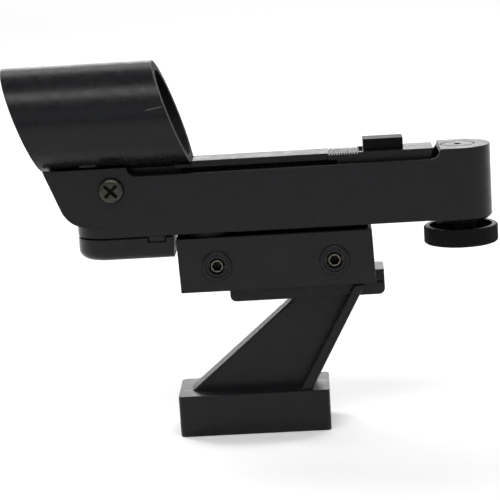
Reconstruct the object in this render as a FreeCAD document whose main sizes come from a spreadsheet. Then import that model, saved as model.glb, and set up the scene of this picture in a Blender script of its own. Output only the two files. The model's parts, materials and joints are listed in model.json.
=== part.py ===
import FreeCAD, Part
import math
import os
import re

import Sketcher

# Red-dot finder on a finder foot, in millimetres.
# Origin: centre of the foot's underside. +Z is up, -X points to the sky, +X to the observer,
# and the clamp screws face -Y.

# Driving dimensions: alias and value. Places are measured from the origin, "half" is half of a width.
DIMENSIONS = [
    # Foot
    ("foot_front", -20.9), ("foot_back", 21.1), ("foot_half", 10.0), ("foot_top", 11.8),
    ("foot_band", 3.2), ("foot_undercut", 0.9), ("foot_draft", 0.2),
    ("foot_round_front", 1.5), ("foot_round_back", 1.2),
    # Web and flange of the bracket
    ("web_half", 3.8), ("flange_half", 8.3), ("stalk_low", 11.3), ("web_high", 38.0),
    ("flange_high", 40.6), ("web_front_low", -17.9), ("web_front_high", 14.0),
    ("flange_low", 12.95), ("flange_high_x", 29.6), ("flange_thick_low", 3.2), ("flange_thick_high", 2.8),
    # Rail: plate, and the key that the set screws press on
    ("rail_front", -4.9), ("rail_back", 37.9), ("rail_half", 5.5), ("rail_low", 37.1), ("rail_top", 44.1),
    ("rail_corner", 1.7), ("rail_groove_low", 40.5), ("rail_groove_top", 43.6), ("rail_groove_deep", 1.2),
    ("key_front", -12.0), ("key_front_low", -4.9), ("key_back", 28.5), ("key_half", 3.0), ("key_top", 51.5),
    # Saddle
    ("saddle_front", -18.6), ("saddle_back", 35.0), ("saddle_flare", 0.5), ("saddle_half", 9.0),
    ("saddle_low", 41.0), ("saddle_top", 56.1), ("rail_gap", 0.15), ("key_travel", 3.6),
    ("boss_radius", 4.1), ("boss_proud", 1.0), ("clamp_front_x", -7.8), ("clamp_back_x", 24.4),
    ("clamp_z", 48.2), ("clamp_radius", 2.0), ("clamp_length", 6.3), ("clamp_recess", 0.6),
    ("insert_radius", 3.1), ("insert_depth", 2.6), ("boss_sink", 0.3), ("socket_radius", 1.45),
    ("socket_depth", 2.2), ("thread_gap", 0.05), ("pad_half", 3.0), ("pad_top", 57.2), ("pad_gap", 0.3),
    # Azimuth pivot, and the post that the azimuth screw works on
    ("turn_x", -10.0), ("shoulder_radius", 2.5), ("shoulder_height", 3.05), ("turn_head_radius", 3.8),
    ("turn_head_height", 1.9), ("turn_insert_radius", 2.9), ("turn_insert_length", 3.8),
    ("washer_radius", 6.5), ("washer_thick", 1.25),
    ("post_x", 26.0), ("post_long", 6.0), ("post_half", 2.6), ("post_top", 64.4), ("azimuth_z", 61.6),
    ("azimuth_radius", 1.5), ("azimuth_nut_radius", 2.1), ("azimuth_nut_bore", 1.78),
    ("azimuth_tip", -7.3), ("azimuth_boss", 3.0),
    # Arm
    ("arm_half", 8.8), ("arm_wall", 1.5), ("arm_low", 57.45), ("arm_floor", 59.0),
    ("arm_rim_front", 74.2), ("arm_rim_back", 74.4), ("nose_x", -37.4), ("nose_top", 60.6),
    ("ear_front", -53.8), ("ear_top", 76.8), ("ear_low_x", -47.5), ("ear_back", -30.8),
    ("ear_step_x", -30.4), ("front_wall_top", 74.2), ("ear_round", 8.0), ("step_round", 2.6),
    ("pillar_x", 59.7), ("pillar_top", 77.0), ("pillar_low", 56.2), ("pillar_front", 54.6),
    ("pillar_step_x", 53.8), ("pillar_toe", 52.5), ("pillar_floor", 57.7), ("pillar_ceiling", 74.6),
    ("pillar_round", 1.2),
    # Top cap of the pillar
    ("cap_radius", 4.65), ("cap_seat", 75.4), ("cap_seat_radius", 3.2), ("cap_gap", 0.12),
    ("cap_hole", 1.0), ("cap_low", 75.0),
    # Altitude pivot
    ("pivot_x", -35.3), ("pivot_z", 70.7), ("pivot_radius", 1.5), ("pan_radius", 3.6), ("pan_height", 1.9),
    ("bush_radius", 2.5), ("neck_half", 6.2), ("pivot_washer_radius", 3.5), ("nut_radius", 3.1),
    ("nut_height", 2.3), ("running_gap", 0.05),
    # Altitude knob and screw
    ("knob_radius", 10.2), ("knob_low", 49.8), ("knob_top", 54.6), ("knob_cup_radius", 8.65),
    ("knob_floor", 51.4), ("knob_hub_radius", 4.2), ("knob_hub_top", 55.5), ("knob_grooves", 62),
    ("knob_groove_radius", 0.4), ("altitude_radius", 2.0), ("altitude_top", 71.6),
    ("altitude_journal_top", 76.2), ("clip_radius", 3.4), ("clip_thick", 0.6), ("clip_gap", 0.08),
    ("spring_coil", 4.7), ("spring_wire", 0.42), ("spring_turns", 4.5),
    # Tongue and tail nut
    ("tongue_low", 64.2), ("tongue_high", 68.2), ("tongue_half", 5.0), ("tail_nut_radius", 3.0),
    ("tail_nut_bore", 2.32),
    # Sight tube
    ("tube_z", 90.0), ("tube_radius", 14.6), ("tube_bore", 13.3), ("tube_front", -59.0),
    ("tube_back", -17.7), ("tube_slant", 0.336), ("back_bore", 11.9), ("bore_end", -12.0),
    # Neck and beam
    ("neck_front_top", -50.5), ("neck_front_low", -42.8), ("neck_back_low", -27.5), ("neck_back", -16.0),
    ("neck_low", 63.2), ("neck_join", 78.0), ("neck_boss", 4.2), ("waist_low", 72.0), ("waist_half", 3.5),
    ("waist_front", -47.4), ("waist_back", -17.3), ("lug_front", -43.6), ("lug_back", -39.0),
    ("lug_half", 8.2), ("lug_inner", 5.0),
    ("beam_half", 4.75), ("beam_low", 75.1), ("beam_top", 77.0), ("beam_front", -18.0),
    ("beam_rib_half", 1.2), ("beam_rib_low", 66.5),
    ("block_front", 26.5), ("block_rib_front", 24.0), ("block_back_low", 49.6), ("block_back_top", 52.8),
    ("block_half", 5.5), ("block_low", 66.3), ("rib_count", 12), ("rib_pitch", 0.69), ("rib_gap", 0.34),
    ("rib_depth", 0.45), ("notch_front", 32.6), ("notch_back", 33.7), ("notch_half", 4.3),
    # Window
    ("window_x", -35.6), ("window_radius", 12.9), ("window_thick", 2.0), ("window_tilt", 4.7),
    ("cell_front", -37.9), ("cell_ring_bore", 12.1), ("ring_back", -32.4),
    # Lamp
    ("lamp_front", 33.8), ("lamp_back", 44.7), ("lamp_half", 3.2), ("lamp_top", 80.1), ("lamp_wall", 0.7),
    ("lamp_window", 1.0), ("lamp_axis", 78.45), ("lamp_board_x", 37.0), ("aperture_x", 35.0),
    # Battery door, coin cell and contacts
    ("door_low", 50.9), ("door_top", 57.0), ("door_back", -19.3), ("door_skin", 0.75), ("door_floor", 52.5),
    ("door_round", 2.8), ("notch_a", -26.2), ("notch_b", -21.3), ("notch_deep", 1.3),
    ("coin_radius", 8.0), ("coin_thick", 2.0), ("coin_low", 53.45), ("pad_radius", 6.0),
    ("tab_half", 2.4), ("board_low", 59.25), ("board_thick", 1.2), ("board_front", -34.5),
    ("board_back", -22.8), ("board_half", 6.8), ("strip", 0.35), ("contact_x", -33.0), ("contact_reach",
     -39.0),
    ("top_slot_front", -34.0), ("top_slot_back", -31.6), ("side_slot_front", -29.5), ("side_slot_back",
     -28.1),
    # Brightness control
    ("dimmer_x", 6.0), ("dimmer_z", 66.0), ("dimmer_radius", 4.6), ("dimmer_front", 1.8),
    ("dimmer_shaft", 1.5), ("dimmer_knob_radius", 7.0), ("side_knob_near", 9.25), ("dimmer_knob_far", 14.6),
    ("azimuth_knob_radius", 5.2), ("azimuth_knob_far", 15.6), ("side_grooves", 30),
    ("side_groove_radius", 0.32),
]
ALIASES = {alias for alias, value in DIMENSIONS}

doc = FreeCAD.newDocument("RedDotFinder")
sheet = doc.addObject("Spreadsheet::Sheet", "Dims")
for row, (alias, value) in enumerate(DIMENSIONS, start=1):
    sheet.set(f"A{row}", alias)
    sheet.set(f"B{row}", str(value))
    sheet.setAlias(f"B{row}", alias)
doc.recompute()

ALONG = {"X": FreeCAD.Rotation(FreeCAD.Vector(0, 1, 0), 90),
         "Y": FreeCAD.Rotation(FreeCAD.Vector(1, 0, 0), -90),
         "Z": FreeCAD.Rotation()}
FAR = 40  # a length that reaches past any piece
pieces = []


def cells(text):
    """Expression text with each alias pointed at its cell."""
    return re.sub(r"[a-z]\w*", lambda word: "Dims." + word[0] if word[0] in ALIASES else word[0], str(text))


def dim(alias):
    return float(sheet.get(alias))


def bind(item, **sizes):
    for name, text in sizes.items():
        item.setExpression(name, cells(text))


def place(item, at, rotation=None):
    """Put an item at three expressions, turned by a rotation."""
    if rotation is not None:
        item.Placement = FreeCAD.Placement(FreeCAD.Vector(), rotation)
    for axis, text in zip("xyz", at):
        item.setExpression(f"Placement.Base.{axis}", cells(text))


def new_piece(label):
    """A body of its own, whose label names its file."""
    body = doc.addObject("PartDesign::Body", "Body_" + label)
    body.Label = label
    body.AllowCompound = True
    pieces.append(body)
    return body


def box(body, kind, name, low, high):
    """Additive or subtractive box between two corners given as expressions."""
    item = body.newObject(f"PartDesign::{kind}Box", name)
    spans = [f"({b}) - ({a})" for a, b in zip(low, high)]
    bind(item, Length=spans[0], Width=spans[1], Height=spans[2])
    place(item, low)
    return item


def rod(body, kind, name, axis, start, radius, length):
    """Additive or subtractive cylinder from a start point along an axis."""
    item = body.newObject(f"PartDesign::{kind}Cylinder", name)
    bind(item, Radius=radius, Height=length)
    place(item, start, ALONG[axis])
    return item


def outline(body, name, plane, corners):
    """Closed sketch on one of the body's origin planes, each corner tied to the sheet."""
    sketch = body.newObject("Sketcher::SketchObject", name)
    support = [item for item in body.Origin.OriginFeatures if item.Role == plane][0]
    sketch.AttachmentSupport = [(support, "")]
    sketch.MapMode = "FlatFace"
    count = len(corners)
    turn = 2 * math.pi / count
    guess = [FreeCAD.Vector(10 * math.cos(turn * i), 10 * math.sin(turn * i), 0) for i in range(count)]
    for i in range(count):
        sketch.addGeometry(Part.LineSegment(guess[i], guess[(i + 1) % count]), False)
    for i in range(count):
        sketch.addConstraint(Sketcher.Constraint("Coincident", i, 2, (i + 1) % count, 1))
    for i, corner in enumerate(corners):
        for kind, start, text in (("DistanceX", guess[i].x, corner[0]), ("DistanceY", guess[i].y,
            corner[1])):
            index = sketch.addConstraint(Sketcher.Constraint(kind, -1, 1, i, 1, start))
            sketch.setExpression(f"Constraints[{index}]", cells(text))
    return sketch


def prism(body, kind, name, plane, corners, length, symmetric=True):
    """Pad or Pocket of an outline, half to each side of its plane unless told otherwise."""
    sketch = outline(body, name + "Sketch", plane, corners)
    item = body.newObject("PartDesign::" + kind, name)
    item.Profile = sketch
    item.SideType = "Symmetric" if symmetric else "One side"
    bind(item, Length=length)
    return item


def edges_where(shape, test):
    return [f"Edge{i}" for i, edge in enumerate(shape.Edges, start=1) if test(edge)]


def dress(body, kind, name, size, test):
    """Fillet or Chamfer on the edges that pass a test."""
    doc.recompute()
    base = body.Tip
    item = body.newObject("PartDesign::" + kind, name)
    item.Base = (base, edges_where(base.Shape, test))
    bind(item, **{"Radius" if kind == "Fillet" else "Size": size})
    return item


def straight_at(axis, **place_of):
    """Test for straight edges along an axis whose middle has the given coordinates."""
    def test(edge):
        if len(edge.Vertexes) != 2:
            return False
        span = edge.Vertexes[1].Point - edge.Vertexes[0].Point
        middle = (edge.Vertexes[1].Point + edge.Vertexes[0].Point) / 2
        along = abs(getattr(span, axis)) > 0.9 * span.Length > 0.5
        return along and all(abs(getattr(middle, key) - value) < 0.3 for key, value in place_of.items())
    return test


def circle_at(radius, **place_of):
    """Test for round edges of a radius whose centre has the given coordinates."""
    def test(edge):
        if not hasattr(edge.Curve, "Radius") or abs(edge.Curve.Radius - radius) > 0.01:
            return False
        return all(abs(getattr(edge.Curve.Center, key) - value) < 0.01 for key, value in place_of.items())
    return test


def tube(label, axis, start, outer, inner, length):
    """A plain ring or bush as a piece of its own."""
    body = new_piece(label)
    rod(body, "Additive", "Outside", axis, start, outer, length)
    rod(body, "Subtractive", "Bore", axis, start, inner, length)
    return body


def pattern(body, kind, name, source, count, **sizes):
    """Repeat a feature; the pattern becomes the body's tip."""
    item = body.newObject("PartDesign::" + kind, name)
    item.Originals = [source]
    bind(item, Occurrences=count, **sizes)
    body.Tip = item
    return item


def origin_axis(body, role):
    return ([item for item in body.Origin.OriginFeatures if item.Role == role][0], [""])


def make_bracket():
    body = new_piece("bracket")
    section = [("-(foot_half - foot_undercut)", "0"), ("foot_half - foot_undercut", "0"),
               ("foot_half", "foot_band"), ("foot_half - foot_draft", "foot_top"),
               ("-(foot_half - foot_draft)", "foot_top"), ("-foot_half", "foot_band")]
    foot = prism(body, "Pad", "Foot", "YZ_Plane", section, "foot_back - foot_front", symmetric=False)
    foot.Profile[0].setExpression("AttachmentOffset.Base.z", cells("foot_front"))

    def upright_at(x_place):
        def test(edge):
            ends = [vertex.Point for vertex in edge.Vertexes]
            return all(abs(end.x - x_place) < 0.01 for end in ends) and abs(ends[0].z - ends[1].z) > 1
        return test
    dress(body, "Fillet", "FootFront", "foot_round_front", upright_at(dim("foot_front")))
    dress(body, "Fillet", "FootBack", "foot_round_back", upright_at(dim("foot_back")))
    web = [("web_front_low", "stalk_low"), ("flange_low + 1", "stalk_low"),
           ("flange_high_x", "web_high"), ("web_front_high", "web_high")]
    prism(body, "Pad", "Web", "XZ_Plane", web, "2 * web_half")
    flange = [("flange_low", "stalk_low"), ("flange_low + flange_thick_low", "stalk_low"),
              ("flange_high_x + flange_thick_high", "flange_high"), ("flange_high_x", "flange_high")]
    prism(body, "Pad", "Flange", "XZ_Plane", flange, "2 * flange_half")
    box(body, "Additive", "Rail", ("rail_front", "-rail_half", "rail_low"), ("rail_back", "rail_half",
        "rail_top"))
    dress(body, "Fillet", "RailBack", "rail_corner", straight_at("y", x=dim("rail_back"),
        z=dim("rail_low")))
    dress(body, "Fillet", "RailFront", "rail_corner", straight_at("y", x=dim("rail_front"),
        z=dim("rail_low")))
    for name, inner, outer in (("Near", "-rail_half - 1", "-rail_half + rail_groove_deep"),
                               ("Far", "rail_half - rail_groove_deep", "rail_half + 1")):
        box(body, "Subtractive", "RailGroove" + name, ("rail_front - 1", inner, "rail_groove_low"),
            ("rail_back + 1", outer, "rail_groove_top"))
    box(body, "Additive", "Key", ("key_front_low", "-key_half", "rail_top - 1"), ("key_back",
        "key_half", "key_top"))
    box(body, "Additive", "KeyNose", ("key_front", "-key_half", "rail_top + 0.6"),
        ("key_front_low + 1", "key_half", "key_top"))


def clamp_places():
    return (("front", "clamp_front_x"), ("rear", "clamp_back_x"))


def make_saddle():
    body = new_piece("saddle")
    side = [("saddle_front + saddle_flare", "saddle_low"), ("saddle_back + saddle_flare", "saddle_low"),
            ("saddle_back", "saddle_top"), ("saddle_front", "saddle_top")]
    prism(body, "Pad", "Block", "XZ_Plane", side, "2 * saddle_half")
    for name, x_place in clamp_places():
        rod(body, "Additive", "Boss_" + name, "Y", (x_place, "-(saddle_half + boss_proud)", "clamp_z"),
            "boss_radius", "boss_proud + 1")
    face = -(dim("saddle_half") + dim("boss_proud"))
    dress(body, "Fillet", "BossEdge", "0.5", circle_at(dim("boss_radius"), y=face))
    box(body, "Subtractive", "Groove", (f"-{FAR}", "-(rail_half + rail_gap)", "saddle_low - 2"),
        (f"{FAR}", "rail_half + rail_gap", "rail_top + rail_gap"))
    box(body, "Subtractive", "KeyRoom", ("key_front - key_travel", "-(key_half + rail_gap)", "rail_top"),
        ("key_back + key_travel", "key_half + rail_gap", "key_top + rail_gap"))
    for name, x_place in clamp_places():
        rod(body, "Subtractive", "ScrewHole_" + name, "Y", (x_place, "-saddle_half - 2", "clamp_z"),
            "clamp_radius + 0.2", "saddle_half")
        rod(body, "Subtractive", "InsertHole_" + name, "Y",
            (x_place, "-(saddle_half + boss_proud) + insert_depth", "clamp_z"), "insert_radius",
            "saddle_half + boss_proud - insert_depth")
        rod(body, "Subtractive", "BossSink_" + name, "Y", (x_place, "-(saddle_half + boss_proud) - 1",
            "clamp_z"),
            "insert_radius", "boss_sink + 1")
    pads = (("Front", "saddle_front + pad_gap", "turn_x - washer_radius - pad_gap"),
            ("Middle", "turn_x + washer_radius + pad_gap", "post_x"),
            ("Back", "post_x", "saddle_back - 1"))
    for name, front, back in pads:
        box(body, "Additive", name + "Pad", (front, "-pad_half", "saddle_top - 1"), (back, "pad_half",
            "pad_top"))
    box(body, "Additive", "Post", ("post_x - post_long / 2", "-post_half", "saddle_top - 1"),
        ("post_x + post_long / 2", "post_half", "post_top"))
    rod(body, "Subtractive", "PostHole", "Y", ("post_x", "-10", "azimuth_z"), "azimuth_nut_radius", "20")
    rod(body, "Subtractive", "TurnHole", "Z", ("turn_x", "0", "saddle_top - turn_insert_length"),
        "turn_insert_radius", "turn_insert_length + 1")


def make_clamp_hardware():
    body = new_piece("clamp_inserts")
    face = "-(saddle_half + boss_proud) + insert_depth"
    for name, x_place in clamp_places():
        rod(body, "Additive", "Insert_" + name, "Y", (x_place, face, "clamp_z"), "insert_radius",
            "saddle_half + boss_proud - insert_depth - key_half - 0.5")
    for name, x_place in clamp_places():
        rod(body, "Subtractive", "Thread_" + name, "Y", (x_place, "-15", "clamp_z"),
            "clamp_radius + thread_gap", "15")
    for name, x_place in clamp_places():
        screw = new_piece("clamp_screw_" + name)
        start = "-(saddle_half + boss_proud) + clamp_recess"
        rod(screw, "Additive", "Shank", "Y", (x_place, start, "clamp_z"), "clamp_radius", "clamp_length")
        socket = screw.newObject("PartDesign::SubtractivePrism", "Socket")
        socket.Polygon = 6
        bind(socket, Circumradius="socket_radius", Height="socket_depth")
        place(socket, (x_place, start, "clamp_z"), ALONG["Y"])
        dress(screw, "Chamfer", "ScrewEnds", "0.35", circle_at(dim("clamp_radius"), z=dim("clamp_z")))


def make_azimuth_pivot():
    top = "saddle_top"
    tube("azimuth_insert", "Z", ("turn_x", "0", "saddle_top - turn_insert_length"), "turn_insert_radius",
         "clamp_radius + thread_gap", "turn_insert_length")
    tube("azimuth_washer", "Z", ("turn_x", "0", top), "washer_radius", "shoulder_radius + running_gap",
         "washer_thick")
    body = new_piece("azimuth_pivot")
    rod(body, "Additive", "Thread", "Z", ("turn_x", "0", "saddle_top - turn_insert_length"), "clamp_radius",
        "turn_insert_length")
    rod(body, "Additive", "Shoulder", "Z", ("turn_x", "0", top), "shoulder_radius", "shoulder_height")
    head = f"{top} + shoulder_height"
    rod(body, "Additive", "Head", "Z", ("turn_x", "0", head), "turn_head_radius", "turn_head_height")
    height = dim("saddle_top") + dim("shoulder_height") + dim("turn_head_height")
    dress(body, "Fillet", "HeadEdge", "0.8", circle_at(dim("turn_head_radius"), z=height))
    cross_recess(body, "Z", ("turn_x", "0", head), "turn_head_height", 1.7, 0.4)
    tube("azimuth_nut", "Y", ("post_x", "-post_half", "azimuth_z"), "azimuth_nut_radius",
         "azimuth_nut_bore", "2 * post_half")


def cross_recess(body, axis, start, height, reach, slot):
    """Cross-shaped driver recess, turned by 45 degrees, in the far part of a head; start is its underside."""
    room = f"{height} * 2 / 3 + 1"
    for name, angle in (("SlotA", 45), ("SlotB", 135)):
        item = body.newObject("PartDesign::SubtractiveBox", name)
        if axis == "Z":
            turn = FreeCAD.Rotation(FreeCAD.Vector(0, 0, 1), angle)
            corner = turn.multVec(FreeCAD.Vector(-reach, -slot, 0))
            bind(item, Length=str(2 * reach), Width=str(2 * slot), Height=room)
            lift = ("0", "0", f"{height} / 3")
        else:
            turn = FreeCAD.Rotation(FreeCAD.Vector(0, 1, 0), angle)
            corner = turn.multVec(FreeCAD.Vector(-reach, 0, -slot))
            bind(item, Length=str(2 * reach), Width=room, Height=str(2 * slot))
            lift = ("0", f"-({height} + 1)", "0")
        spot = [f"{text} + {more} + {move:.6f}" for text, more, move in zip(start, lift, corner)]
        place(item, spot, turn)


def make_arm():
    body = new_piece("arm")
    side = [("ear_front", "ear_top"), ("ear_low_x", "nose_top"), ("nose_x", "nose_top"),
            ("nose_x", "arm_low"), ("pillar_toe", "arm_low"), ("pillar_toe + 0.4", "pillar_low"),
            ("pillar_x + arm_half", "pillar_low"), ("pillar_x + arm_half", "pillar_top"),
            ("pillar_front", "pillar_top"), ("pillar_step_x", "arm_rim_back"),
            ("ear_step_x", "arm_rim_front"), ("ear_back", "ear_top")]
    prism(body, "Pad", "Side", "XZ_Plane", side, "2 * arm_half")
    dress(body, "Fillet", "EarRound", "ear_round", straight_at("y", x=dim("ear_low_x"), z=dim("nose_top")))
    steps = [(dim("ear_step_x"), dim("arm_rim_front")), (dim("pillar_step_x"), dim("arm_rim_back"))]
    dress(body, "Fillet", "Steps", "step_round",
          lambda edge: any(straight_at("y", x=x, z=z)(edge) for x, z in steps))
    dress(body, "Fillet", "PillarRound", "arm_half - 0.05", straight_at("z",
        x=dim("pillar_x") + dim("arm_half")))
    rod(body, "Additive", "Nose", "Z", ("nose_x", "0", "arm_low"), "arm_half", "nose_top - arm_low")
    low_edge = dim("pillar_low")
    dress(body, "Chamfer", "PillarToe", "pillar_round",
          lambda edge: all(abs(v.Point.z - low_edge) < 0.01 for v in edge.Vertexes)
          and hasattr(edge.Curve, "Radius"))
    inside = [("ear_front + 1.65", "ear_top + 2"), ("ear_low_x + 3", "nose_top + 1.5"),
              ("nose_x", "nose_top + 1.5"), ("nose_x", "arm_floor"), ("pillar_x", "arm_floor"),
              ("pillar_x", "pillar_ceiling"), ("pillar_front + 0.3", "pillar_ceiling"),
              ("pillar_front - 0.2", "pillar_ceiling + 1"), ("pillar_front - 3.2", "ear_top + 2")]
    prism(body, "Pocket", "Channel", "XZ_Plane", inside, "2 * (arm_half - arm_wall)")
    box(body, "Subtractive", "FrontDip", (f"-{FAR * 2}", "-(arm_half - arm_wall)", "front_wall_top"),
        ("nose_x", "arm_half - arm_wall", "ear_top + 5"))
    rod(body, "Subtractive", "NoseRoom", "Z", ("nose_x", "0", "arm_floor"), "arm_half - arm_wall", "3.7")
    rod(body, "Subtractive", "PillarRoom", "Z", ("pillar_x", "0", "pillar_floor"), "arm_half - arm_wall",
        "pillar_ceiling - pillar_floor")
    rod(body, "Subtractive", "CapHole", "Z", ("pillar_x", "0", "cap_seat"), "cap_radius", "5")
    rod(body, "Subtractive", "CapNeck", "Z", ("pillar_x", "0", "pillar_ceiling - 1"), "cap_seat_radius",
        "5")
    rod(body, "Subtractive", "KnobHole", "Z", ("pillar_x", "0", "pillar_low - 1"),
        "altitude_radius + running_gap", "5")
    rod(body, "Subtractive", "PivotHole", "Y", ("pivot_x", "-10", "pivot_z"),
        "pivot_radius + running_gap", "20")
    rod(body, "Subtractive", "TurnHole", "Z", ("turn_x", "0", "arm_low - 1"),
        "shoulder_radius + running_gap", "4")
    box(body, "Subtractive", "PostSlot", ("post_x - post_long / 2 - 0.6", "-post_half - 2.1",
        "arm_low - 1"),
        ("post_x + post_long / 2 + 0.6", "post_half + 2.1", "arm_floor + 1"))
    rod(body, "Subtractive", "AzimuthHole", "Y", ("post_x", "0", "azimuth_z"),
        "azimuth_radius + running_gap", "10")
    rod(body, "Additive", "AzimuthBoss", "Y", ("post_x", "-(arm_half - arm_wall) - 0.5", "azimuth_z"),
        "azimuth_boss", "1.8")
    rod(body, "Subtractive", "AzimuthEnd", "Y", ("post_x", "azimuth_tip - 0.2", "azimuth_z"),
        "azimuth_radius + running_gap", "5")
    rod(body, "Subtractive", "DimmerHole", "Y", ("dimmer_x", "0", "dimmer_z"),
        "dimmer_shaft + running_gap", "10")
    slots = (("TabSlot", "door_back - 1.9", "door_back + 0.1", "tab_half + 0.3"),
             ("TopSlot", "top_slot_front", "top_slot_back", "2.4"),
             ("SideSlot", "side_slot_front", "side_slot_back", "2.9"))
    for name, front, back, half in slots:
        box(body, "Subtractive", name, (front, f"-({half})", "arm_low - 1"), (back, half, "arm_floor + 1"))
    box(body, "Additive", "Latch", ("notch_a + 0.3", "-arm_half + 0.3", "door_top - notch_deep + 0.15"),
        ("notch_b - 0.3", "-arm_half + 1.1", "arm_low + 0.2"))


def make_arm_hardware():
    cap = new_piece("top_cap")
    rod(cap, "Additive", "Disc", "Z", ("pillar_x", "0", "cap_seat"), "cap_radius - cap_gap",
        "pillar_top - cap_seat")
    rod(cap, "Additive", "Spigot", "Z", ("pillar_x", "0", "cap_low"), "cap_seat_radius - cap_gap",
        "cap_seat - cap_low + 0.5")
    rod(cap, "Subtractive", "Journal", "Z", ("pillar_x", "0", "cap_low - 1"), "pivot_radius + running_gap",
        "altitude_journal_top - cap_low + 1.1")
    rod(cap, "Subtractive", "Hole", "Z", ("pillar_x", "0", "cap_low"), "cap_hole", "5")
    dress(cap, "Chamfer", "Rim", "0.25", circle_at(dim("cap_radius") - dim("cap_gap"), z=dim("pillar_top")))

    screw = new_piece("pivot_screw")
    rod(screw, "Additive", "Head", "Y", ("pivot_x", "-(arm_half + pan_height)", "pivot_z"), "pan_radius",
        "pan_height")
    dress(screw, "Fillet", "Pan", "1.5",
          circle_at(dim("pan_radius"), y=-(dim("arm_half") + dim("pan_height"))))
    rod(screw, "Additive", "Shank", "Y", ("pivot_x", "-arm_half - 0.5", "pivot_z"), "pivot_radius",
        "2 * arm_half + nut_height + 1")
    cross_recess(screw, "Y", ("pivot_x", "-arm_half", "pivot_z"), "pan_height", 2.3, 0.45)

    nut = new_piece("pivot_nut")
    block = nut.newObject("PartDesign::AdditivePrism", "Hexagon")
    block.Polygon = 6
    bind(block, Circumradius="nut_radius", Height="nut_height")
    place(block, ("pivot_x", "arm_half", "pivot_z"), ALONG["Y"])
    rod(nut, "Subtractive", "Thread", "Y", ("pivot_x", "arm_half", "pivot_z"), "pivot_radius + 0.02",
        "nut_height")

    washers = new_piece("pivot_washers")
    room = "arm_half - arm_wall - neck_half"
    for name, start in (("Near", "-(arm_half - arm_wall) + 0.05"), ("Far", "neck_half + 0.05")):
        rod(washers, "Additive", name, "Y", ("pivot_x", start, "pivot_z"), "pivot_washer_radius",
            f"{room} - 0.1")
    rod(washers, "Subtractive", "Bore", "Y", ("pivot_x", "-10", "pivot_z"),
        "pivot_radius + running_gap", "20")

    tube("thrust_washer", "Z", ("pillar_x", "0", "pillar_low - 0.6"), "knob_hub_radius",
         "altitude_radius + running_gap", "0.55")


def make_electrics():
    board = new_piece("circuit_board")
    box(board, "Additive", "Board", ("board_front", "-board_half", "board_low"),
        ("board_back", "board_half", "board_low + board_thick"))
    top = new_piece("cell_contact_top")
    box(top, "Additive", "Leg", ("contact_x", "-1.8", "coin_low + coin_thick + 0.25"),
        ("contact_x + strip", "1.8", "board_low"))
    box(top, "Additive", "Foot", ("contact_reach", "-1.8", "coin_low + coin_thick + 0.25"),
        ("contact_x + strip", "1.8", "coin_low + coin_thick + 0.25 + strip"))
    side = new_piece("cell_contact_side")
    box(side, "Additive", "Strip", ("nose_x + coin_radius + 0.3", "-2.5", "coin_low + 0.3"),
        ("nose_x + coin_radius + 0.3 + strip", "2.5", "board_low"))
    pot = new_piece("potentiometer")
    rod(pot, "Additive", "Can", "Y", ("dimmer_x", "dimmer_front", "dimmer_z"), "dimmer_radius",
        "arm_half - arm_wall - 0.05 - dimmer_front")
    rod(pot, "Subtractive", "ShaftBore", "Y", ("dimmer_x", "dimmer_front + 0.8", "dimmer_z"),
        "dimmer_shaft + running_gap", "10")


def grooved_knob(label, x_place, z_place, radius, far):
    """Small side knob with a grooved rim, its axis along Y, on the arm's far side."""
    body = new_piece(label)
    rod(body, "Additive", "Rim", "Y", ("0", "side_knob_near", "0"), radius, f"{far} - side_knob_near")
    dress(body, "Chamfer", "Edges", "0.5", circle_at(dim(radius), x=0, z=0))
    groove = rod(body, "Subtractive", "RimGroove", "Y", (radius, "side_knob_near - 1", "0"),
                 "side_groove_radius", "12")
    turn = pattern(body, "PolarPattern", "RimGrooves", groove, "side_grooves")
    turn.Axis = origin_axis(body, "Y_Axis")
    turn.Angle = 360
    place(body, (x_place, "0", z_place))
    return body


def make_side_controls():
    knob = grooved_knob("brightness_knob", "dimmer_x", "dimmer_z", "dimmer_knob_radius", "dimmer_knob_far")
    rod(knob, "Subtractive", "ShaftHole", "Y", ("0", "side_knob_near - 1", "0"), "dimmer_shaft", "4.2")
    shaft = new_piece("brightness_shaft")
    rod(shaft, "Additive", "Shaft", "Y", ("dimmer_x", "dimmer_front + 0.9", "dimmer_z"), "dimmer_shaft",
        "side_knob_near + 3.2 - dimmer_front - 0.9")
    knob = grooved_knob("azimuth_knob", "post_x", "azimuth_z", "azimuth_knob_radius", "azimuth_knob_far")
    rod(knob, "Subtractive", "ScrewHole", "Y", ("0", "side_knob_near - 1", "0"), "azimuth_radius", "5.2")
    screw = new_piece("azimuth_screw")
    rod(screw, "Additive", "Screw", "Y", ("post_x", "azimuth_tip", "azimuth_z"), "azimuth_radius",
        "side_knob_near + 4.2 - azimuth_tip")
    tube("azimuth_clip", "Y", ("post_x", "arm_half - arm_wall - clip_gap - clip_thick", "azimuth_z"),
         "azimuth_radius * 1.6", "azimuth_radius", "clip_thick")


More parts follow.
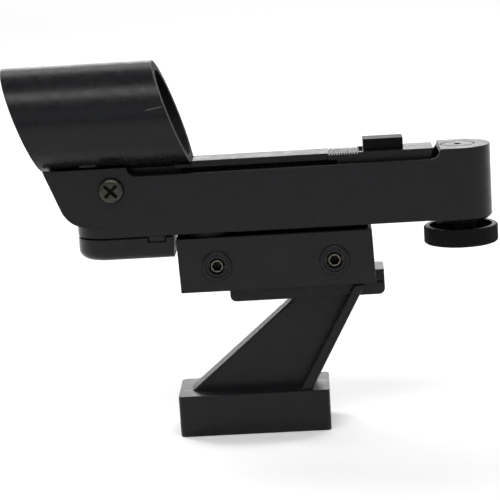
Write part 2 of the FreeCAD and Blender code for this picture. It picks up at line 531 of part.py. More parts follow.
def make_altitude_control():
    knob = new_piece("altitude_knob")
    rod(knob, "Additive", "Rim", "Z", ("0", "0", "knob_low"), "knob_radius", "knob_top - knob_low")
    dress(knob, "Chamfer", "RimEdges", "0.35", circle_at(dim("knob_radius"), x=0, y=0))
    groove = rod(knob, "Subtractive", "RimGroove", "Z", ("knob_radius", "0", "knob_low - 1"),
                 "knob_groove_radius", "7")
    turn = pattern(knob, "PolarPattern", "RimGrooves", groove, "knob_grooves")
    turn.Axis = origin_axis(knob, "Z_Axis")
    turn.Angle = 360
    rod(knob, "Subtractive", "Cup", "Z", ("0", "0", "knob_floor"), "knob_cup_radius", "5")
    rod(knob, "Additive", "Hub", "Z", ("0", "0", "knob_floor - 0.5"), "knob_hub_radius",
        "knob_hub_top - knob_floor + 0.5")
    rod(knob, "Subtractive", "ScrewHole", "Z", ("0", "0", "knob_floor"), "altitude_radius", "10")
    place(knob, ("pillar_x", "0", "0"))
    screw = new_piece("altitude_screw")
    rod(screw, "Additive", "Screw", "Z", ("pillar_x", "0", "knob_floor"), "altitude_radius",
        "altitude_top - knob_floor")
    rod(screw, "Additive", "Journal", "Z", ("pillar_x", "0", "altitude_top - 0.5"), "pivot_radius",
        "altitude_journal_top - altitude_top + 0.5")
    tube("altitude_clip", "Z", ("pillar_x", "0", "pillar_floor + clip_gap"), "clip_radius",
         "altitude_radius", "clip_thick")


def make_altitude_spring():
    """Wire coil round the altitude screw, from the pillar's floor up to the tongue."""
    wire = dim("spring_wire")
    low = dim("pillar_floor") + wire + 0.03
    high = dim("tongue_low") - wire - 0.03
    coil = dim("spring_coil")
    helix = Part.makeHelix((high - low) / dim("spring_turns"), high - low, coil)
    sides = 8
    corners = [2 * math.pi * i / sides for i in range(sides + 1)]
    section = Part.makePolygon([FreeCAD.Vector(coil + wire * math.cos(a), 0,
        wire * math.sin(a)) for a in corners])
    spring = doc.addObject("Part::Feature", "Coil_altitude_spring")
    spring.Label = "altitude_spring"
    spring.Shape = Part.Wire(helix.Edges).makePipeShell([section], True, True)
    spring.Placement = FreeCAD.Placement(FreeCAD.Vector(dim("pillar_x"), 0, low), FreeCAD.Rotation())
    pieces.append(spring)


def slant_x(middle, height):
    """Expression for the slanted cut through the tube at a height."""
    return f"{middle} + (tube_z - ({height})) * tube_slant"


def make_sight():
    body = new_piece("sight_body")
    rod(body, "Additive", "Tube", "X", ("tube_front - 15", "0", "tube_z"), "tube_radius",
        "tube_back - tube_front + 30")
    for name, middle, side in (("FrontCut", "tube_front", "-20"), ("BackCut", "tube_back", "20")):
        low, high = "tube_z - tube_radius - 3", "tube_z + tube_radius + 3"
        cut = [(slant_x(middle, low), low), (slant_x(middle, high), high),
               (f"{middle} + {side}", high), (f"{middle} + {side}", low)]
        prism(body, "Pocket", name, "XZ_Plane", cut, str(FAR))
    neck = [("waist_front", "waist_low"), ("neck_front_low", "neck_low"), ("neck_back_low", "neck_low"),
            ("waist_back", "waist_low")]
    prism(body, "Pad", "Neck", "XZ_Plane", neck, "2 * neck_half")
    waist = [("neck_front_top", "neck_join"), ("waist_front + 1", "waist_low - 1"),
             ("waist_back - 2", "waist_low - 1"), ("neck_back", "beam_low - 2"), ("neck_back", "neck_join")]
    prism(body, "Pad", "Waist", "XZ_Plane", waist, "2 * waist_half")
    box(body, "Additive", "Lug", ("lug_front", "-lug_half", "ear_top + 0.5"),
        ("lug_back", "-lug_inner", "ear_top + 2.2"))
    box(body, "Subtractive", "NeckRoom", ("neck_front_low + 1.5", "-(neck_half - arm_wall)",
        "neck_low - 1"),
        ("neck_back_low - 1", "neck_half - arm_wall", "waist_low - arm_wall"))
    rod(body, "Additive", "PivotBoss", "Y", ("pivot_x", "-neck_half", "pivot_z"), "neck_boss",
        "2 * neck_half")
    box(body, "Additive", "Beam", ("beam_front", "-beam_half", "beam_low"),
        ("block_front + 1", "beam_half", "beam_top"))
    rod(body, "Subtractive", "FrontBore", "X", ("tube_front - 15", "0", "tube_z"), "tube_bore",
        "ring_back - tube_front + 15")
    rod(body, "Subtractive", "BackBore", "X", ("ring_back - 1", "0", "tube_z"), "back_bore",
        "bore_end - ring_back + 1")
    block = [("block_front", "block_low"), ("block_back_low", "block_low"), ("block_back_top", "beam_top"),
             ("block_front", "beam_top")]
    prism(body, "Pad", "Block", "XZ_Plane", block, "2 * block_half")
    box(body, "Additive", "RibBed", ("block_rib_front", "-block_half", "beam_low"),
        ("block_front + 1", "block_half", "beam_top"))
    box(body, "Subtractive", "BlockRoom", ("block_front + 1.5", "-(block_half - 1.2)", "block_low - 1"),
        ("block_back_low - 1.5", "block_half - 1.2", "beam_low"))
    box(body, "Additive", "BeamRib", ("neck_back - 1", "-beam_rib_half", "beam_rib_low"),
        ("block_back_low - 1", "beam_rib_half", "beam_low + 0.5"))
    groove = box(body, "Subtractive", "RibGap", ("block_rib_front + rib_gap", f"-{FAR}",
        "beam_top - rib_depth"),
                 ("block_rib_front + 2 * rib_gap", f"{FAR}", "beam_top + 1"))
    ribs = pattern(body, "LinearPattern", "RibGaps", groove, "rib_count",
        Length="(rib_count - 1) * rib_pitch")
    ribs.Direction = origin_axis(body, "X_Axis")
    box(body, "Subtractive", "RibNotch", ("notch_front", "-notch_half", "beam_top - 0.8"),
        ("notch_back", "notch_half", "beam_top + 1"))
    box(body, "Additive", "Tongue", ("block_back_low - 2", "-tongue_half", "tongue_low"),
        ("pillar_x", "tongue_half", "tongue_high"))
    rod(body, "Additive", "TongueEnd", "Z", ("pillar_x", "0", "tongue_low"), "tongue_half",
        "tongue_high - tongue_low")
    rod(body, "Subtractive", "TailHole", "Z", ("pillar_x", "0", "tongue_low - 1"), "tail_nut_radius", "10")
    rod(body, "Subtractive", "BushHole", "Y", ("pivot_x", "-10", "pivot_z"), "bush_radius", "20")
    tube("pivot_bush", "Y", ("pivot_x", "-neck_half", "pivot_z"), "bush_radius",
        "pivot_radius + running_gap",
         "2 * neck_half")
    tube("tail_nut", "Z", ("pillar_x", "0", "tongue_low"), "tail_nut_radius", "tail_nut_bore",
         "tongue_high - tongue_low")


def make_window():
    """Tilted lens between a cell ring in front of it and a retaining ring behind it."""
    tilt = FreeCAD.Rotation(FreeCAD.Vector(0, 1, 0), 90 + dim("window_tilt"))
    lens = new_piece("window_lens")
    disc = lens.newObject("PartDesign::AdditiveCylinder", "Disc")
    bind(disc, Radius="window_radius", Height="window_thick")
    half = dim("window_thick") / 2
    corner = tilt.multVec(FreeCAD.Vector(0, 0, -half))
    place(disc, (f"window_x + {corner.x}", "0", f"tube_z + {corner.z}"), tilt)
    dress(lens, "Chamfer", "Edges", "0.25", circle_at(dim("window_radius"), y=0))
    rings = (("lens_cell", "cell_front", "window_x + 1 - cell_front", 1),
             ("lens_ring", "window_x - 1", "ring_back - window_x + 1", -1))
    for label, start, length, side in rings:
        ring = tube(label, "X", (start, "0", "tube_z"), "tube_bore - 0.03", "cell_ring_bore", length)
        cut = ring.newObject("PartDesign::SubtractiveCylinder", "TiltedFace")
        cut.Radius = FAR
        cut.Height = FAR
        reach = -half - 0.02 if side > 0 else half + 0.02 - FAR
        shift = tilt.multVec(FreeCAD.Vector(0, 0, reach))
        place(cut, (f"window_x + {shift.x}", "0", f"tube_z + {shift.z}"), tilt)


def make_lamp():
    housing = new_piece("lamp_housing")
    box(housing, "Additive", "Shell", ("lamp_front", "-lamp_half", "beam_top"), ("lamp_back",
        "lamp_half", "lamp_top"))
    box(housing, "Subtractive", "Room", ("lamp_front + lamp_wall", "-(lamp_half - lamp_wall)",
        "beam_top - 1"),
        ("lamp_back - lamp_wall", "lamp_half - lamp_wall", "lamp_top - lamp_wall"))
    rod(housing, "Subtractive", "Window", "X", ("lamp_front - 1", "0", "lamp_axis"), "lamp_window", "3")
    half, low, high = "lamp_half - lamp_wall - 0.05", "beam_top + 0.02", "lamp_top - lamp_wall - 0.05"
    board = new_piece("lamp_board")
    box(board, "Additive", "Board", ("lamp_board_x", f"-({half})", low), ("lamp_board_x + 0.8", half, high))
    led = new_piece("led")
    box(led, "Additive", "Chip", ("lamp_board_x - 0.8", "-0.6", "lamp_axis - 0.4"),
        ("lamp_board_x", "0.6", "lamp_axis + 0.4"))
    plate = new_piece("aperture_plate")
    box(plate, "Additive", "Plate", ("aperture_x", f"-({half})", low), ("aperture_x + 0.3", half, high))
    rod(plate, "Subtractive", "Pinhole", "X", ("aperture_x - 1", "0", "lamp_axis"), "0.12", "3")


def make_battery():
    door = new_piece("battery_door")
    box(door, "Additive", "Tray", ("nose_x", "-arm_half", "door_low"), ("door_back", "arm_half",
        "door_top"))
    rod(door, "Additive", "Nose", "Z", ("nose_x", "0", "door_low"), "arm_half", "door_top - door_low")
    low = dim("door_low")
    nose_low = circle_at(dim("arm_half"), z=low)
    dress(door, "Fillet", "LowEdge", "door_round", nose_low)
    box(door, "Subtractive", "Room", ("nose_x", "-(arm_half - door_skin)", "door_floor"),
        ("door_back - 1", "arm_half - door_skin", "door_top + 1"))
    rod(door, "Subtractive", "CoinRoom", "Z", ("nose_x", "0", "door_floor"), "arm_half - door_skin", "10")
    rod(door, "Additive", "Pad", "Z", ("nose_x", "0", "door_floor - 0.5"), "pad_radius",
        "coin_low - door_floor + 0.45")
    box(door, "Subtractive", "Notch", ("notch_a", "-arm_half - 1", "door_top - notch_deep"),
        ("notch_b", "-arm_half + 2", "door_top + 1"))
    box(door, "Additive", "Tab", ("door_back - 1.5", "-tab_half", "door_top - 1"),
        ("door_back - 0.3", "tab_half", "arm_floor + 0.8"))
    coin = new_piece("coin_cell")
    rod(coin, "Additive", "Can", "Z", ("nose_x", "0", "coin_low"), "coin_radius", "coin_thick")
    dress(coin, "Fillet", "CanEdge", "0.3", circle_at(dim("coin_radius"), z=dim("coin_low")))


def check_and_export():
    """Stop on any failed object or bad shape, then write one file for each piece."""
    doc.recompute()
    for item in doc.Objects:
        if "Invalid" in item.State or "Error" in item.State:
            raise RuntimeError(f"{item.Name} failed: {item.State}")
    os.makedirs("parts", exist_ok=True)
    for piece in pieces:
        shape = piece.Shape
        if shape.isNull() or not shape.isValid() or not shape.Solids:
            raise RuntimeError(f"{piece.Label} has no valid solid")
        print(f"{piece.Label}: {len(shape.Solids)} solid(s), {shape.Volume:.1f} mm3")
    for piece in pieces:
        piece.Shape.exportStep(os.path.join("parts", piece.Label + ".step"))


for make in (make_bracket, make_saddle, make_clamp_hardware, make_azimuth_pivot, make_arm,
             make_arm_hardware, make_electrics, make_side_controls, make_altitude_control,
             make_altitude_spring, make_sight, make_window, make_lamp, make_battery):
    make()
    doc.recompute()
check_and_export()
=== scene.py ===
"""Looks of the red-dot finder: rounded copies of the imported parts, materials, a white table and soft lamps.

Lengths are metres, and millimetres where a comment or docstring says so or MM stands beside them.
+Z is up, +X is towards the observer, and the clamp screws face -Y.
"""

import json
import math

import bmesh
import bpy
from mathutils import Matrix, Vector


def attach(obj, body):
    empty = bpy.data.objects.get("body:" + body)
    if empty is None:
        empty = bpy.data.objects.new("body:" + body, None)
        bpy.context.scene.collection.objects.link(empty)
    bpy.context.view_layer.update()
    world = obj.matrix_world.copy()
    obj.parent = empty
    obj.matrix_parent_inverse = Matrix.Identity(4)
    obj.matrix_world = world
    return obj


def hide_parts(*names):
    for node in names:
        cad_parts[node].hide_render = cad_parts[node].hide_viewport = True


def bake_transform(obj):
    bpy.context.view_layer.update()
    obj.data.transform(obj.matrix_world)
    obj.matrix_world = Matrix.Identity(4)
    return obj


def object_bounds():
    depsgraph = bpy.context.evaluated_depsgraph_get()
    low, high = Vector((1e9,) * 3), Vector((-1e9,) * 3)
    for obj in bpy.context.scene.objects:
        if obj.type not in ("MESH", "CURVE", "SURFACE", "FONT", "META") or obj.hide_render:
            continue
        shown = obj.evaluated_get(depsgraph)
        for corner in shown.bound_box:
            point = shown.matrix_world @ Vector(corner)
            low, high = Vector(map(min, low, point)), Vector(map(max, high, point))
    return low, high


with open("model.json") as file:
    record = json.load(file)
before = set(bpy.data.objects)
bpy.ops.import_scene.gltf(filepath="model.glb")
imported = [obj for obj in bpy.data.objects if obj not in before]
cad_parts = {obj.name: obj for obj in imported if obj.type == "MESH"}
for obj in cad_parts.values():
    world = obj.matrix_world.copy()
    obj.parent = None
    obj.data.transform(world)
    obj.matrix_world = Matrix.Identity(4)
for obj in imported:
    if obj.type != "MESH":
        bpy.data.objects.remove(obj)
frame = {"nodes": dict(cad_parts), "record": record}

CAD_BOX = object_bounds()
MM = 0.001
RECORD = frame["record"]
BODY_OF = {node: body for body, nodes in RECORD["behaviour"]["bodies"].items() for node in nodes}
SLOT_OF = {part["node"]: part["material_slot"] for part in RECORD["subparts"]}


# ---------------------------------------------------------------- node graphs

class Graph:
    """The node tree of a material or a world, with one short call for each kind of node."""

    def __init__(self, owner):
        self.owner = owner
        owner.use_nodes = True
        self.tree = owner.node_tree
        self.tree.nodes.clear()

    def node(self, kind, settings=None, **inputs):
        made = self.tree.nodes.new(kind)
        for key, value in (settings or {}).items():
            setattr(made, key, value)
        for key, value in inputs.items():
            self.feed(made, key.replace("_", " "), value)
        return made

    def feed(self, node, key, value):
        """Links or sets an input, found by its name or, where names repeat, by its number."""
        socket = node.inputs[int(key)] if key.isdigit() else node.inputs[key]
        if isinstance(value, bpy.types.NodeSocket):
            self.tree.links.new(value, socket)
        else:
            socket.default_value = value

    def math(self, operation, *values, clamp=False):
        made = self.node("ShaderNodeMath", {"operation": operation, "use_clamp": clamp})
        for index, value in enumerate(values):
            self.feed(made, str(index), value)
        return made.outputs[0]

    def place(self):
        """Where a point is on the part, in millimetres."""
        where = self.node("ShaderNodeTexCoord").outputs["Object"]
        scaled = self.node("ShaderNodeVectorMath", {"operation": "SCALE"}, Scale=1 / MM)
        self.tree.links.new(where, scaled.inputs[0])
        return scaled.outputs[0]

    def apart(self, vector):
        """A vector's x, y and z."""
        return list(self.node("ShaderNodeSeparateXYZ", Vector=vector).outputs)

    def length(self, first, second):
        """The length of a vector with these two components, such as a distance from an axis."""
        squares = [self.math("MULTIPLY", part, part) for part in (first, second)]
        return self.math("SQRT", self.math("ADD", *squares))

    def stretched(self, place, scale):
        made = self.node("ShaderNodeVectorMath", {"operation": "MULTIPLY"})
        self.feed(made, "0", place)
        self.feed(made, "1", scale)
        return made.outputs[0]

    def noise(self, place, size, detail=2.0, roughness=0.5):
        """Soft noise from 0 to 1 whose blotches are about size millimetres across."""
        made = self.node("ShaderNodeTexNoise", Vector=place, Scale=1 / size, Detail=detail,
                         Roughness=roughness)
        return made.outputs["Fac"]

    def band(self, value, low, high, out_low=0.0, out_high=1.0):
        """value's stretch from low to high, spread smoothly over out_low to out_high."""
        made = self.node("ShaderNodeMapRange", {"interpolation_type": "SMOOTHSTEP"}, Value=value)
        for key, number in (("From Min", low), ("From Max", high), ("To Min", out_low), ("To Max", out_high)):
            self.feed(made, key, number)
        return made.outputs["Result"]

    def mix(self, amount, first, second):
        """Blends two colours. A mix node's colour inputs are 6 and 7, and its colour output is 2."""
        made = self.node("ShaderNodeMix", {"data_type": "RGBA"})
        self.feed(made, "0", amount)
        self.feed(made, "6", first)
        self.feed(made, "7", second)
        return made.outputs[2]

    def bump(self, height, depth, normal=None):
        """Raises the surface by height times depth millimetres."""
        made = self.node("ShaderNodeBump", Height=height, Strength=1.0, Distance=depth * MM)
        if normal is not None:
            self.feed(made, "Normal", normal)
        return made.outputs["Normal"]

    def finish(self, colour, roughness, normal=None, **fixed):
        """Ends the tree in a Principled shader and gives back the material."""
        shader = self.node("ShaderNodeBsdfPrincipled", Base_Color=colour, Roughness=roughness, **fixed)
        if normal is not None:
            self.feed(shader, "Normal", normal)
        self.node("ShaderNodeOutputMaterial", Surface=shader.outputs[0])
        return self.owner


def material_graph(name):
    return Graph(bpy.data.materials.new(name))


def grey(level, tint=(1.0, 1.0, 1.0)):
    return (level * tint[0], level * tint[1], level * tint[2], 1.0)


# ------------------------------------------------------------------ materials

DUST = grey(0.16)
# Near black for the inside of the sight tube: painted shade.
TUBE_PAINTED_SHADE = grey(0.0015)
# Near black for driver sockets and the screw steel behind them: painted shade.
SOCKET_PAINTED_SHADE = 0.006


def bored(g, place, axis_z, radius, back):
    """1 within radius of the line of sight, for x below back: where painted shade darkens the inside of the
    sight tube.
    """
    x, y, z = g.apart(place)
    off = g.length(g.math("SUBTRACT", z, axis_z), y)
    return g.math("MULTIPLY", g.math("LESS_THAN", off, radius), g.math("LESS_THAN", x, back))


def scratched(g, place, start, end, width, fade=1.5):
    """1 on a scratch from start to end, both x and z, on the side that faces -Y. It fades in over fade."""
    x, y, z = g.apart(place)
    slope = (end[1] - start[1]) / (end[0] - start[0])
    line = g.math("ADD", g.math("MULTIPLY", g.math("SUBTRACT", x, start[0]), slope), start[1])
    off = g.math("ABSOLUTE", g.math("SUBTRACT", z, line))
    reach = g.math("MULTIPLY", g.band(x, start[0], start[0] + fade), g.math("LESS_THAN", x, end[0]))
    near = g.math("MULTIPLY", reach, g.math("LESS_THAN", y, 0.0))
    return g.math("MULTIPLY", near, g.math("LESS_THAN", off, width / 2))


def sunk(g, place, x, z, radius, mouth):
    """1 within radius of an axis along Y through x and z, from y = mouth on.

    That is the inside of a driver socket, and the rest of the screw behind it, where shade is painted.
    """
    here_x, here_y, here_z = g.apart(place)
    off = g.length(g.math("SUBTRACT", here_x, x), g.math("SUBTRACT", here_z, z))
    return g.math("MULTIPLY", g.math("LESS_THAN", off, radius), g.math("GREATER_THAN", here_y, mouth))


def moulded_plastic(name, level=0.0068, tint=(0.93, 1.0, 1.13), roughness=0.28, grain=0.003, dust=0.35,
                    gloss=0.175, bore_shade=None, scratch=None):
    """Black moulded plastic: fine spark grain, slow sink waves, smudged gloss and a few specks of dust."""
    g = material_graph(name)
    place = g.place()
    cloud = g.noise(place, size=9.0, detail=3.0)
    smudge = g.noise(place, size=2.6, detail=4.0, roughness=0.6)
    fine = g.noise(place, size=0.16, detail=1.0)
    flow = g.noise(g.stretched(place, (0.12, 1.0, 1.0)), size=1.1, detail=3.0)
    mottle = g.noise(place, size=0.7, detail=2.0)

    specks = g.node("ShaderNodeTexVoronoi", {"feature": "F1"}, Vector=place, Scale=1 / 2.4)
    speck_radius = g.band(g.noise(specks.outputs["Position"], size=0.9), 0.56, 0.74, 0.0, 0.05)
    speck = g.math("MULTIPLY", g.math("LESS_THAN", specks.outputs["Distance"], speck_radius), dust)

    dark = g.mix(cloud, grey(level * 0.8, tint), grey(level * 1.25, tint))
    colour = g.mix(speck, dark, DUST)
    rough = g.math("ADD", g.band(smudge, 0.3, 0.7, roughness - 0.04, roughness + 0.06),
                   g.math("MULTIPLY", speck, 0.3))
    if bore_shade is not None:
        # Inside the sight tube: painted shade, a near-black colour, and a rougher surface.
        inside = bored(g, place, **bore_shade)
        colour = g.mix(inside, colour, TUBE_PAINTED_SHADE)
        rough = g.math("ADD", rough, g.math("MULTIPLY", inside, 0.4), clamp=True)
    if scratch is not None:
        colour = g.mix(g.math("MULTIPLY", scratched(g, place, **scratch), 0.8), colour, DUST)

    height = g.math("ADD", fine, g.math("MULTIPLY", flow, 0.6))
    height = g.math("ADD", height, g.math("MULTIPLY", mottle, 0.5))
    sink_wave = g.bump(cloud, depth=0.02)
    return g.finish(colour, rough, g.bump(height, grain, sink_wave), IOR=1.5, Specular_IOR_Level=gloss)


def steel(name, level=0.35, tint=(1.0, 0.95, 0.87), roughness=0.3, shade_pit=None):
    """Turned steel: fine tool marks and a slightly tarnished colour, with painted shade, near black, in a
    driver socket and behind it.
    """
    g = material_graph(name)
    place = g.place()
    marks = g.noise(g.stretched(place, (1.0, 8.0, 1.0)), size=0.4, detail=3.0)
    stain = g.noise(place, size=1.3, detail=3.0)
    colour = g.mix(stain, grey(level * 0.7, tint), grey(level * 1.2, tint))
    if shade_pit is not None:
        # Painted shade: near black inside a driver socket and on the screw behind it.
        colour = g.mix(sunk(g, place, **shade_pit), colour, grey(SOCKET_PAINTED_SHADE, tint))
    rough = g.band(stain, 0.3, 0.7, roughness, roughness + 0.14)
    return g.finish(colour, rough, g.bump(marks, depth=0.01), Metallic=1.0)


def brass(name):
    g = material_graph(name)
    stain = g.noise(g.place(), size=1.0, detail=3.0)
    colour = g.mix(stain, (0.16, 0.11, 0.05, 1), (0.30, 0.21, 0.09, 1))
    return g.finish(colour, g.band(stain, 0.3, 0.7, 0.25, 0.4), g.bump(stain, depth=0.01), Metallic=1.0)


def glass(name):
    """Coated window: clear, with a faint amber tint and traces of cleaning."""
    g = material_graph(name)
    film = g.noise(g.place(), size=3.0, detail=4.0)
    colour = g.mix(film, (0.93, 0.80, 0.74, 1), (0.96, 0.86, 0.82, 1))
    rough = g.band(film, 0.4, 0.8, 0.01, 0.05)
    return g.finish(colour, rough, Transmission_Weight=0.9, IOR=1.5)


def board(name):
    """Green circuit board: tracks under the lacquer and the weave of the glass cloth."""
    g = material_graph(name)
    place = g.place()
    weave = g.noise(place, size=0.5, detail=2.0)
    track = g.node("ShaderNodeTexBrick", Vector=place, Scale=0.8).outputs["Fac"]
    colour = g.mix(g.math("MULTIPLY", track, 0.4), (0.010, 0.10, 0.035, 1), (0.02, 0.2, 0.07, 1))
    return g.finish(colour, g.band(weave, 0.2, 0.8, 0.25, 0.4), g.bump(weave, depth=0.01))


def resin(name):
    """The clear red resin of the LED."""
    g = material_graph(name)
    cloud = g.noise(g.place(), size=0.4, detail=2.0)
    colour = g.mix(cloud, (0.45, 0.012, 0.008, 1), (0.70, 0.03, 0.02, 1))
    return g.finish(colour, g.band(cloud, 0.2, 0.8, 0.06, 0.12), Transmission_Weight=0.5, IOR=1.5)


# Both shade pits reach right through: the first paints shade, near black, on all screw steel behind the clamp
# screws' faces, and the second on the pivot screw's cross recess, its shank and its far tip.
CLAMP_SOCKET_SHADE = dict(x=0.0, z=48.2, radius=40.0, mouth=-9.3)
PIVOT_RECESS_SHADE = dict(x=-35.3, z=70.7, radius=2.6, mouth=-10.6)
TUBE_BORE_SHADE = dict(axis_z=90.0, radius=14.3, back=-12.9)
TUBE_SCRATCH = dict(start=(-24.5, 92.7), end=(-19.3, 93.6), width=0.14)

MATERIALS = {
    "moulded_black": moulded_plastic("moulded_black"),
    "knob_black": moulded_plastic("knob_black", level=0.003, roughness=0.36, grain=0.004, dust=0.2,
                                  gloss=0.10),
    "screw_steel": steel("screw_steel", level=0.12, tint=(1.0, 0.98, 0.82), roughness=0.24,
                         shade_pit=CLAMP_SOCKET_SHADE),
    "spring_steel": steel("spring_steel", level=0.5, tint=(1.0, 1.0, 1.02), roughness=0.22),
    "brass": brass("brass"),
    "acetal": moulded_plastic("acetal", level=0.03, roughness=0.5, dust=0.0),
    "window_glass": glass("window_glass"),
    "board_green": board("board_green"),
    "led_red": resin("led_red"),
    "plate_black": moulded_plastic("plate_black", level=0.004, roughness=0.6, dust=0.0),
    "cell_steel": steel("cell_steel", level=0.6, tint=(1.0, 0.99, 0.97), roughness=0.25),
    "pot_case": moulded_plastic("pot_case", level=0.02, roughness=0.45, dust=0.0),
}

NODE_LOOKS = {
    # The lamp housing is the same moulded black plastic, in a darker, less glossy copy: painted shade.
    "lamp_housing": moulded_plastic("lamp_housing_painted_shade", level=0.002, roughness=0.4, gloss=0.07),
    "pivot_screw": steel("pivot_steel", level=0.05, tint=(1.0, 0.98, 0.86), roughness=0.28,
                         shade_pit=PIVOT_RECESS_SHADE),
    "sight_body": moulded_plastic("tube_black", bore_shade=TUBE_BORE_SHADE, scratch=TUBE_SCRATCH),
}


def look_of(node):
    return NODE_LOOKS.get(node, MATERIALS[SLOT_OF[node]])


# --------------------------------------------------------------------- pieces

def stand(name, data):
    """A new object in the scene."""
    made = bpy.data.objects.new(name, data)
    bpy.context.scene.collection.objects.link(made)
    return made


def shaped(name, shape):
    """A new object with a bmesh's shape. The bmesh is freed."""
    mesh = bpy.data.meshes.new(name)
    shape.to_mesh(mesh)
    shape.free()
    return stand(name, mesh)


def paint(thing, material):
    """Gives every slot of an object the material, on the object and not on its mesh."""
    if not thing.material_slots:
        thing.data.materials.append(None)
    for held in thing.material_slots:
        held.link = "OBJECT"
        held.material = material


def rounded(shape, edges, width, segments):
    """Rounds some edges of a bmesh by width millimetres."""
    bmesh.ops.bevel(shape, geom=edges, offset=width * MM, offset_type="OFFSET", segments=segments,
                    profile=0.5, affect="EDGES", clamp_overlap=False, miter_outer="ARC")


def sharp_edges(shape, hollow=True, angle=32.0):
    """Edges that turn by more than angle degrees; those of hollow corners only when asked for."""
    return [e for e in shape.edges if len(e.link_faces) == 2 and e.calc_face_angle() > math.radians(angle)
            and (hollow or e.is_convex)]


def softened(node, width, zones=(), hollow=True):
    """A copy of a CAD node whose edges are rounded by width millimetres, as a mould leaves them.

    Each zone is a box in millimetres with a width of its own for the edges whose middles lie in it.
    """
    source = frame["nodes"][node]
    shape = bmesh.new()
    shape.from_mesh(source.data)
    bmesh.ops.remove_doubles(shape, verts=shape.verts, dist=0.001 * MM)
    bmesh.ops.dissolve_limit(shape, angle_limit=math.radians(0.8), verts=shape.verts, edges=shape.edges,
                             use_dissolve_boundaries=False)
    for low, high, round_width in zones:
        inside = []
        for edge in sharp_edges(shape):
            middle = (edge.verts[0].co + edge.verts[1].co) / (2 * MM)
            if all(low[i] < middle[i] < high[i] for i in range(3)):
                inside.append(edge)
        rounded(shape, inside, round_width, 4)
    rounded(shape, sharp_edges(shape, hollow), width, 2)
    for edge in sharp_edges(shape):
        edge.smooth = False
    piece = shaped(node + "_soft", shape)
    piece.data.shade_smooth()
    flow = piece.modifiers.new("flat_faces", "WEIGHTED_NORMAL")
    flow.keep_sharp = True
    flow.weight = 100
    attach(piece, BODY_OF[node])
    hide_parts(node)
    paint(piece, look_of(node))


def coil():
    """The altitude spring between the arm and the tilting tongue: a smooth-shaded copy, fixed in place and
    attached to no body.
    """
    mesh = frame["nodes"]["altitude_spring"].data.copy()
    mesh.shade_smooth()
    piece = stand("altitude_spring_coil", mesh)
    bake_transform(piece)
    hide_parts("altitude_spring")
    paint(piece, look_of("altitude_spring"))


def locating_lip():
    """A low U-shaped lip under the arm's nose that the battery door closes round; it shuts the gap to light.

    Its numbers are millimetres. The U's two legs start at back_x and meet in a half circle about nose_x.
    """
    low, high = 56.6, 57.5
    half, thick = 7.6, 0.5
    nose_x, back_x = -37.4, -21.2
    steps = 24
    line = [(back_x, half)]
    line += [(nose_x - half * math.sin(math.pi * i / steps), half * math.cos(math.pi * i / steps))
             for i in range(steps + 1)]
    line += [(back_x, -half)]
    shape = bmesh.new()
    rings = []
    for x, y in line:
        out = Vector((min(x - nose_x, 0.0), y)).normalized() * thick
        corners = [(x, y, low), (x - out.x, y - out.y, low), (x - out.x, y - out.y, high), (x, y, high)]
        rings.append([shape.verts.new(Vector(corner) * MM) for corner in corners])
    for first, second in zip(rings, rings[1:]):
        for i in range(4):
            shape.faces.new((first[i], first[(i + 1) % 4], second[(i + 1) % 4], second[i]))
    shape.faces.new(rings[0][::-1])
    shape.faces.new(rings[-1])
    bmesh.ops.recalc_face_normals(shape, faces=shape.faces)
    rounded(shape, sharp_edges(shape), 0.12, 2)
    piece = shaped("locating_lip", shape)
    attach(piece, "arm")
    paint(piece, MATERIALS["moulded_black"])


# Edge roundings in millimetres, and the zones that have wider ones.
EDGES = {"bracket": 0.3, "saddle": 0.22, "arm": 0.2, "sight_body": 0.15, "battery_door": 0.2,
         "lamp_housing": 0.2, "top_cap": 0.12, "altitude_knob": 0.05, "azimuth_knob": 0.06,
         "brightness_knob": 0.06}
NOTCH_UNDER_RAIL = ((12, -4, 36.8), (14, 4, 37.4), 1.1)
WEB = ((-18, -4, 14), (14, 4, 36), 0.7)
FLANGE_SIDES = [((14, -9, 14), (34, -8, 39), 0.5), ((14, 8, 14), (34, 9, 39), 0.5)]
ARM_UNDERSIDE = ((54, -9, 55.5), (69, 9, 57), 0.8)
ZONES = {"bracket": [NOTCH_UNDER_RAIL, WEB] + FLANGE_SIDES, "arm": [ARM_UNDERSIDE]}

for node, thing in frame["nodes"].items():
    if node in EDGES:
        softened(node, EDGES[node], ZONES.get(node, ()), hollow=node != "bracket")
    elif node == "altitude_spring":
        coil()
    else:
        paint(thing, look_of(node))
locating_lip()


# ---------------------------------------------------------- table, lamps, camera

def table():
    """A white table far larger than the part, a hair under its foot."""
    low = CAD_BOX[0].z - 0.02 * MM
    reach = 4.0
    shape = bmesh.new()
    corners = [(-reach, -reach, low), (reach, -reach, low), (reach, reach, low), (-reach, reach, low)]
    shape.faces.new([shape.verts.new(corner) for corner in corners])
    top = shaped("table", shape)
    g = material_graph("table_white")
    tone = g.noise(g.place(), size=400.0)
    paint(top, g.finish(g.mix(tone, grey(0.86), grey(0.88)), 0.8, Specular_IOR_Level=0.2))


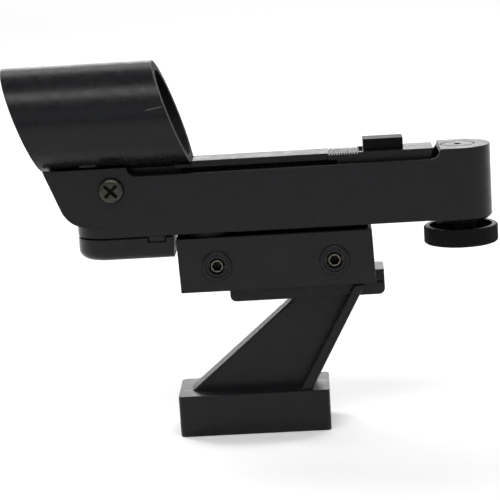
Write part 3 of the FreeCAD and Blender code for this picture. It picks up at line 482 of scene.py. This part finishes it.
def lamp(name, azimuth, elevation, distance, width, height, strength):
    """A soft box that faces the part. Azimuth 0 is the camera's side and 90 the observer's side."""
    centre = (CAD_BOX[0] + CAD_BOX[1]) / 2
    a, e = math.radians(azimuth), math.radians(elevation)
    away = Vector((math.sin(a) * math.cos(e), -math.cos(a) * math.cos(e), math.sin(e)))
    data = bpy.data.lights.new(name, "AREA")
    data.shape = "RECTANGLE"
    data.size, data.size_y = width, height
    data.energy = strength * math.pi * width * height
    held = stand(name, data)
    held.location = centre + away * distance
    held.rotation_mode = "QUATERNION"
    held.rotation_quaternion = away.to_track_quat("Z", "Y")


def sky():
    """A room that is dark at table height, white above that and dim overhead."""
    world = bpy.data.worlds.new("room")
    g = Graph(world)
    rise = g.apart(g.node("ShaderNodeTexCoord").outputs["Generated"])[2]
    above_table = g.band(rise, 0.04, 0.14, 0.15, 1.0)
    overhead = g.band(rise, 0.25, 0.65, 1.1, 0.32)
    glow = g.node("ShaderNodeBackground", Strength=g.math("MULTIPLY", overhead, above_table))
    g.node("ShaderNodeOutputWorld", Surface=glow.outputs[0])
    bpy.context.scene.world = world


def camera():
    """Stands 0.54 m in front of the part, looks 11.5 degrees down and is rolled by 3.6 degrees."""
    azimuth, elevation, roll = (math.radians(v) for v in (2.3398, 11.4641, -3.5653))
    back = Vector((math.sin(azimuth) * math.cos(elevation), -math.cos(azimuth) * math.cos(elevation),
                   math.sin(elevation)))
    right = Vector((math.cos(azimuth), math.sin(azimuth), 0))
    side = right * math.cos(roll) + back.cross(right) * math.sin(roll)
    data = bpy.data.cameras.new("camera")
    data.sensor_width, data.lens = 36.0, 144.0
    data.clip_start, data.clip_end = 0.01, 20.0
    eye = stand("camera", data)
    eye.location = (0.02336, -0.54419, 0.16083)
    eye.rotation_mode = "QUATERNION"
    eye.rotation_quaternion = Matrix((side, back.cross(side), back)).transposed().to_quaternion()
    bpy.context.scene.camera = eye


table()
sky()
lamp("front_top", azimuth=0, elevation=60, distance=1.0, width=1.1, height=0.3, strength=6.6)
lamp("backdrop", azimuth=180, elevation=17, distance=2.6, width=6.0, height=1.0, strength=1.8)
lamp("far_top", azimuth=180, elevation=48, distance=2.3, width=3.0, height=0.9, strength=1.9)
lamp("rim_left", azimuth=-128, elevation=35, distance=1.0, width=0.35, height=0.35, strength=14.0)
lamp("rim_right", azimuth=128, elevation=35, distance=1.0, width=0.3, height=0.3, strength=6.0)
camera()
bpy.context.scene.view_settings.view_transform = "Standard"
